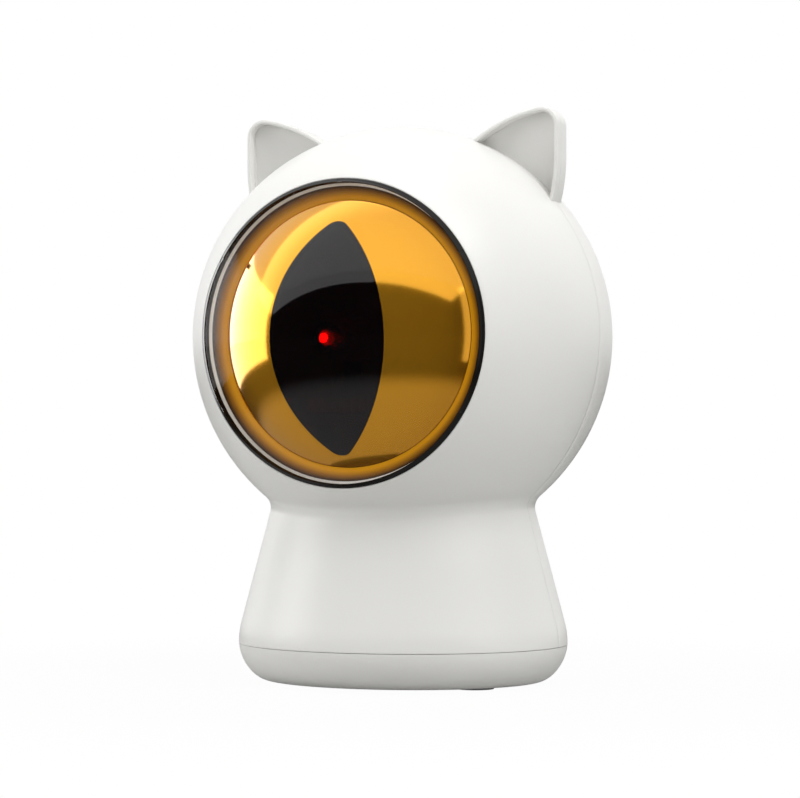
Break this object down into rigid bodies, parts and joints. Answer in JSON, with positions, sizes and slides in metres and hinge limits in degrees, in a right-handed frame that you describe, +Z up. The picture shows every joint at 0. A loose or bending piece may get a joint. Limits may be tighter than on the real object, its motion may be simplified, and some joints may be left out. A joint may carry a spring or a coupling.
{
  "type": "automatic cat laser toy",
  "caption": "Free-standing cat toy: a ball head with ears and one slit-pupil eye on an oval foot, with a laser on geared pan and tilt axes behind the pupil.",
  "frame": {"origin": "on the floor under the middle of the head and foot", "axes": "+Z up, the eye looks along -Y, +X to the right seen from the front"},
  "size_m": [0.083, 0.083, 0.1124],
  "materials": {
    "shell_white": "satin",
    "eye_black": "gloss",
    "clear_dome": "gloss",
    "iris_amber": "gloss",
    "pupil_smoke": "gloss",
    "foot_rubber": "matte",
    "steel": "satin",
    "motor_can": "satin",
    "brass": "satin",
    "gear_white": "satin",
    "frame_grey": "matte",
    "cell_wrap": "satin",
    "board_green": "satin",
    "part_black": "matte",
    "lamp_clear": "gloss",
    "lens_red": "gloss"
  },
  "bodies": {
    "housing": {"front_shell": "shell_white", "back_shell": "shell_white", "base_cap": "shell_white", "rubber_feet": "foot_rubber", "base_screws": "steel", "eye_bezel": "eye_black", "bezel_screws": "steel", "dome_lens": "clear_dome", "iris_shell": "iris_amber", "pupil_window": "pupil_smoke", "iris_retainer": "frame_grey", "battery_holder": "frame_grey", "battery_cells": "cell_wrap", "top_contacts": "steel", "main_board": "board_green", "board_chips": "part_black", "board_screws": "steel", "usb_shell": "steel", "usb_tongue": "part_black", "switch_body": "part_black", "status_led": "lamp_clear", "light_pipe": "lamp_clear", "mechanism_deck": "frame_grey", "deck_screws": "steel", "pan_axle": "steel", "thrust_washer": "gear_white", "axle_clip": "steel", "pan_motor": "motor_can", "pan_motor_screws": "steel"},
    "battery_cap": {"battery_cap": "shell_white", "cap_contacts": "steel"},
    "power_button": {"power_button": "shell_white", "switch_plunger": "part_black"},
    "pan_yoke": {"pan_gear": "gear_white", "pan_yoke": "frame_grey", "yoke_screws": "steel", "tilt_motor": "motor_can", "tilt_motor_screws": "steel"},
    "laser_head": {"laser_cradle": "frame_grey", "tilt_pins": "steel", "tilt_sector": "gear_white", "laser_barrel": "brass", "laser_lens": "lens_red", "laser_driver": "board_green", "barrel_screw": "steel"},
    "pan_drive": {"pan_shaft": "steel", "pan_pinion": "brass"},
    "tilt_drive": {"tilt_shaft": "steel", "tilt_pinion": "brass"}
  },
  "joints": [
    {"name": "cap_twist", "type": "hinge", "parent": "housing", "child": "battery_cap", "pos_m": [0, 0, 0], "axis": [0, 0, 1], "range_deg": [0, 45]},
    {"name": "button_press", "type": "slide", "parent": "housing", "child": "power_button", "axis": [0, -1, 0], "range_m": [0, 0.0008], "stiffness_N_per_m": 400, "springref_m": -0.0004},
    {"name": "laser_pan", "type": "hinge", "parent": "housing", "child": "pan_yoke", "pos_m": [0, -0.005, 0.0671], "axis": [0, 0, 1], "range_deg": [-14, 14]},
    {"name": "laser_tilt", "type": "hinge", "parent": "pan_yoke", "child": "laser_head", "pos_m": [0, -0.005, 0.0671], "axis": [1, 0, 0], "range_deg": [-15, 15]},
    {"name": "pan_pinion_spin", "type": "hinge", "parent": "housing", "child": "pan_drive", "pos_m": [-0.0198, -0.005, 0.0671], "axis": [0, 0, 1], "range_deg": [-63.5, 63.5]},
    {"name": "tilt_pinion_spin", "type": "hinge", "parent": "pan_yoke", "child": "tilt_drive", "pos_m": [0, 0.007, 0.0671], "axis": [1, 0, 0], "range_deg": [-45.5, 45.5]}
  ],
  "couplings": [
    {"joint": "pan_pinion_spin", "follows": "laser_pan", "ratio": -4.5},
    {"joint": "tilt_pinion_spin", "follows": "laser_tilt", "ratio": -3}
  ]
}
